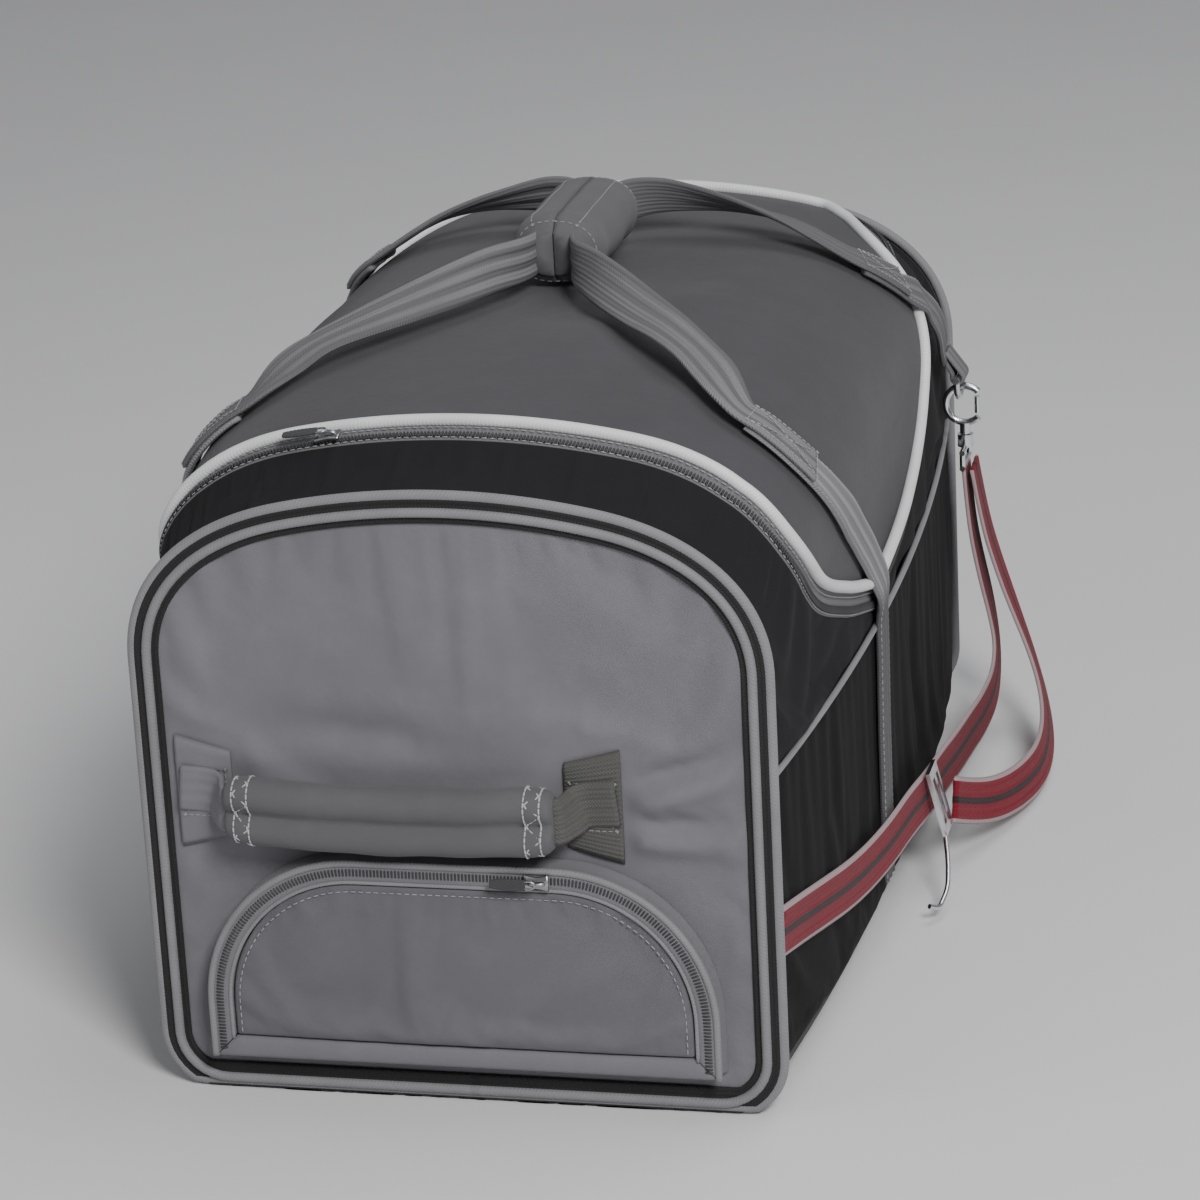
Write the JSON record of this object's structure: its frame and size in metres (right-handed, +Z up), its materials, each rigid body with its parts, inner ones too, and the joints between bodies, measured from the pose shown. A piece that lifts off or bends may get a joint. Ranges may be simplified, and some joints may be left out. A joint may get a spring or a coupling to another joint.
{
  "type": "sports duffel bag",
  "caption": "Short soft sports duffel with domed ends, a centre band between two zipped arcs, wrapped carry handles, an end pocket and a clip-on shoulder strap.",
  "frame": {"origin": "centre of the base footprint, on the surface the bag stands on", "axes": "+Z up, Y along the length with the pocket end facing -Y, +X towards the side with the shoulder strap"},
  "size_m": [0.4379, 0.6876, 0.411],
  "materials": {
    "base_cloth": "coarse coated cloth",
    "board": "matte",
    "side_cloth": "coated polyester, matte",
    "gusset_cloth": "coated polyester, matte",
    "end_cloth": "coated polyester, matte",
    "grey_piping": "woven cord piping",
    "band_cloth": "coated polyester, matte",
    "hood_cloth": "coated polyester, matte",
    "zip_tape": "woven tape",
    "zip_coil": "nylon coil",
    "white_piping": "smooth cord piping",
    "pocket_binding": "woven tape",
    "pocket_cloth": "coated polyester, matte",
    "grip_cloth": "padded cloth",
    "grey_webbing": "woven webbing",
    "patch_webbing": "woven webbing",
    "carry_webbing": "woven webbing",
    "side_webbing": "ribbed woven webbing",
    "wrap_cloth": "padded cloth",
    "chrome_metal": "bright plated",
    "zip_metal": "plated die cast",
    "puller_cord": "cord and tape",
    "strap_webbing": "striped woven webbing"
  },
  "bodies": {
    "bag": {"base_board": "board", "base_panel": "base_cloth", "centre_band": "band_cloth", "end_panel_front": "end_cloth", "end_panel_rear": "end_cloth", "end_piping_front": "grey_piping", "end_piping_rear": "grey_piping", "front_arc_piping": "white_piping", "front_gusset_left": "gusset_cloth", "front_gusset_right": "gusset_cloth", "front_zip_coil": "zip_coil", "front_zip_tape": "zip_tape", "grab_patch_front_a": "patch_webbing", "grab_patch_front_b": "patch_webbing", "grab_patch_rear_a": "patch_webbing", "grab_patch_rear_b": "patch_webbing", "pocket_rim": "pocket_binding", "pocket_zip": "zip_coil", "rear_arc_piping": "white_piping", "rear_gusset_left": "gusset_cloth", "rear_gusset_right": "gusset_cloth", "rear_webbing_left": "carry_webbing", "rear_webbing_right": "carry_webbing", "rear_zip_coil": "zip_coil", "rear_zip_tape": "zip_tape", "ring_tab": "carry_webbing", "side_panel_left": "side_cloth", "side_panel_right": "side_cloth", "side_seam_left": "grey_piping", "side_seam_right": "grey_piping", "side_webbing_left": "side_webbing", "side_webbing_right": "side_webbing", "strap_clip": "chrome_metal", "strap_glide": "chrome_metal", "strap_slack": "strap_webbing", "strap_webbing": "strap_webbing", "swivel_eye": "chrome_metal"},
    "front_hood_flap": {"front_hood": "hood_cloth"},
    "rear_hood_flap": {"rear_hood": "hood_cloth"},
    "front_zip_runner": {"front_zip_slider": "zip_metal"},
    "front_zip_pull": {"front_zip_puller": "puller_cord"},
    "rear_zip_runner": {"rear_zip_slider": "zip_metal"},
    "rear_zip_pull": {"rear_zip_puller": "puller_cord"},
    "pocket_door": {"pocket_flap": "pocket_cloth"},
    "pocket_runner": {"pocket_slider": "zip_metal"},
    "pocket_pull": {"pocket_puller": "puller_cord"},
    "grab_handle_front": {"grab_grip_front": "grip_cloth", "grab_webbing_front": "grey_webbing"},
    "grab_handle_rear": {"grab_grip_rear": "grip_cloth", "grab_webbing_rear": "grey_webbing"},
    "carry_handle_right": {"carry_webbing_right": "carry_webbing", "handle_wrap_right": "wrap_cloth"},
    "carry_handle_left": {"carry_webbing_left": "carry_webbing", "handle_wrap_left": "wrap_cloth"},
    "ring": {"d_ring": "chrome_metal"},
    "hook": {"snap_hook": "chrome_metal"},
    "gate": {"hook_gate": "chrome_metal"}
  },
  "joints": [
    {"name": "front_hood_fold", "type": "hinge", "parent": "bag", "child": "front_hood_flap", "pos_m": [0, -0.3089, 0.341], "axis": [1, 0, 0], "range_deg": [0, 115]},
    {"name": "rear_hood_fold", "type": "hinge", "parent": "bag", "child": "rear_hood_flap", "pos_m": [0, 0.3089, 0.341], "axis": [-1, 0, 0], "range_deg": [0, 115]},
    {"name": "front_zip_run", "type": "hinge", "parent": "bag", "child": "front_zip_runner", "pos_m": [0, -0.262, -0.10513], "axis": [0, 1, 0], "range_deg": [0, 17.46]},
    {"name": "front_zip_pull_flip", "type": "hinge", "parent": "front_zip_runner", "child": "front_zip_pull", "pos_m": [-0.07107, -0.26326, 0.35647], "axis": [-0.037, 0.97, 0.2403], "range_deg": [0, 165]},
    {"name": "rear_zip_run", "type": "hinge", "parent": "bag", "child": "rear_zip_runner", "pos_m": [0, 0.255, -0.11009], "axis": [0, 1, 0], "range_deg": [0, 17.21]},
    {"name": "rear_zip_pull_flip", "type": "hinge", "parent": "rear_zip_runner", "child": "rear_zip_pull", "pos_m": [-0.07106, 0.25614, 0.35824], "axis": [0.0329, 0.9756, -0.217], "range_deg": [0, 165]},
    {"name": "pocket_fold", "type": "hinge", "parent": "bag", "child": "pocket_door", "pos_m": [0, -0.3292, 0.0366], "axis": [1, 0, 0], "range_deg": [0, 85]},
    {"name": "pocket_zip_run", "type": "slide", "parent": "bag", "child": "pocket_runner", "axis": [-1, 0, 0], "range_m": [0, 0.092]},
    {"name": "pocket_pull_flip", "type": "hinge", "parent": "pocket_runner", "child": "pocket_pull", "pos_m": [0.046, -0.336, 0.1345], "axis": [0, 0, 1], "range_deg": [0, 165]},
    {"name": "grab_front_lift", "type": "hinge", "parent": "bag", "child": "grab_handle_front", "pos_m": [-0.03, -0.3178, 0.202], "axis": [-1, 0, 0], "range_deg": [0, 95]},
    {"name": "grab_rear_lift", "type": "hinge", "parent": "bag", "child": "grab_handle_rear", "pos_m": [0.03, 0.3178, 0.202], "axis": [1, 0, 0], "range_deg": [0, 95]},
    {"name": "carry_right_swing", "type": "hinge", "parent": "bag", "child": "carry_handle_right", "pos_m": [0.131, 0, 0.36], "axis": [0, 1, 0], "range_deg": [0, 150]},
    {"name": "carry_left_swing", "type": "hinge", "parent": "bag", "child": "carry_handle_left", "pos_m": [-0.131, 0, 0.36], "axis": [0, -1, 0], "range_deg": [0, 150]},
    {"name": "ring_swing", "type": "hinge", "parent": "bag", "child": "ring", "pos_m": [0.185, 0.255, 0.236], "axis": [0, -1, 0], "range_deg": [-2, 14]},
    {"name": "hook_swivel", "type": "hinge", "parent": "bag", "child": "hook", "pos_m": [0.188, 0.255, 0.2], "axis": [0, 0, 1], "range_deg": [-20, 20]},
    {"name": "gate_spring", "type": "hinge", "parent": "hook", "child": "gate", "pos_m": [0.1959, 0.255, 0.2111], "axis": [0, -1, 0], "range_deg": [0, 12], "stiffness_Nm_per_rad": 0.05}
  ]
}
